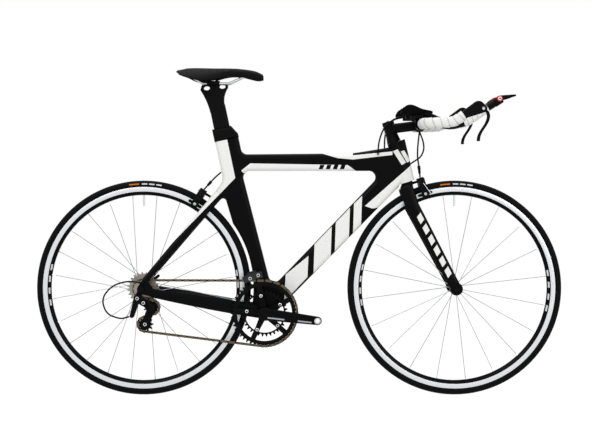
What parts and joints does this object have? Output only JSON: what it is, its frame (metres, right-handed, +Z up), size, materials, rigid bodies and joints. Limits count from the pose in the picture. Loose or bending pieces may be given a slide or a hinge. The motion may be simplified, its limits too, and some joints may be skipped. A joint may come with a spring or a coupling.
{
  "type": "triathlon bike",
  "caption": "Triathlon bike with a deep aero frame in black and white, base bar with aero extensions and arm pads, caliper brakes and a double crankset without pedals.",
  "frame": {"origin": "rider's sitting point on the top of the saddle, in the bike's middle plane", "axes": "+X forward, +Y to the rider's left, +Z up; the chain is on the -Y side"},
  "size_m": [1.6368, 0.433, 1.0193],
  "materials": {
    "tyre_rubber": "matte",
    "black_alloy": "satin",
    "silver_alloy": "satin",
    "steel": "satin",
    "frame_paint": "gloss",
    "carbon_black": "satin",
    "saddle_cover": "satin",
    "black_plastic": "matte",
    "white_tape": "matte",
    "pad_foam": "matte",
    "cable_housing": "satin"
  },
  "bodies": {
    "frame": {"seat_tube": "frame_paint", "top_tube": "frame_paint", "down_tube": "frame_paint", "head_tube": "frame_paint", "crank_shell": "frame_paint", "dropout_left": "frame_paint", "dropout_right": "frame_paint", "seatstay_left": "frame_paint", "seatstay_right": "frame_paint", "chainstay_left": "frame_paint", "chainstay_right": "frame_paint", "seat_collar": "black_alloy", "seatpost": "carbon_black", "saddle_rails": "silver_alloy", "saddle_clamp": "black_alloy", "saddle_pad": "saddle_cover", "saddle_shell": "black_plastic", "chain": "steel", "derailleur_cage": "black_alloy", "derailleur_pulleys": "black_plastic", "derailleur_body": "black_alloy", "front_derailleur": "black_alloy", "rear_brake": "black_alloy", "rear_skewer": "silver_alloy", "frame_cables": "cable_housing", "steering_cables": "cable_housing"},
    "steering": {"fork": "carbon_black", "headset_spacer": "black_alloy", "stem": "black_alloy", "base_bar": "black_alloy", "bar_tape": "white_tape", "brake_lever_left": "black_plastic", "brake_lever_right": "black_plastic", "extension_left": "black_alloy", "extension_right": "black_alloy", "shifter_left": "black_plastic", "shifter_right": "black_plastic", "pad_brackets": "black_alloy", "arm_pads": "pad_foam", "front_brake": "black_alloy", "front_skewer": "silver_alloy", "front_brake_cable": "cable_housing"},
    "front_wheel": {"front_tyre": "tyre_rubber", "front_rim": "black_alloy", "front_valve": "silver_alloy", "front_spokes": "steel", "front_hub": "black_alloy"},
    "rear_wheel": {"rear_tyre": "tyre_rubber", "rear_rim": "black_alloy", "rear_valve": "silver_alloy", "rear_spokes": "steel", "rear_hub": "black_alloy"},
    "crank": {"crank_left": "black_alloy", "crank_right": "black_alloy", "crank_spindle": "steel", "chainring_large": "black_alloy", "chainring_small": "black_alloy", "chainring_bolts": "steel"},
    "cogs": {"cassette": "steel"}
  },
  "joints": [
    {"name": "steering", "type": "hinge", "parent": "frame", "child": "steering", "pos_m": [0.7035, 0, -0.684], "axis": [-0.3007, 0, 0.9537], "range_deg": [-60, 60], "deforming": ["steering_cables"]},
    {"name": "front_wheel_spin", "type": "hinge", "parent": "steering", "child": "front_wheel", "pos_m": [0.7486, 0, -0.684], "axis": [0, 1, 0], "continuous": true},
    {"name": "rear_wheel_spin", "type": "hinge", "parent": "frame", "child": "rear_wheel", "pos_m": [-0.2204, 0, -0.684], "axis": [0, 1, 0], "continuous": true},
    {"name": "crank_spin", "type": "hinge", "parent": "frame", "child": "crank", "pos_m": [0.157, 0, -0.76], "axis": [0, 1, 0], "continuous": true},
    {"name": "cog_spin", "type": "hinge", "parent": "frame", "child": "cogs", "pos_m": [-0.2204, 0, -0.684], "axis": [0, 1, 0], "continuous": true}
  ],
  "couplings": [
    {"joint": "cog_spin", "follows": "crank_spin", "ratio": 3.8462}
  ]
}
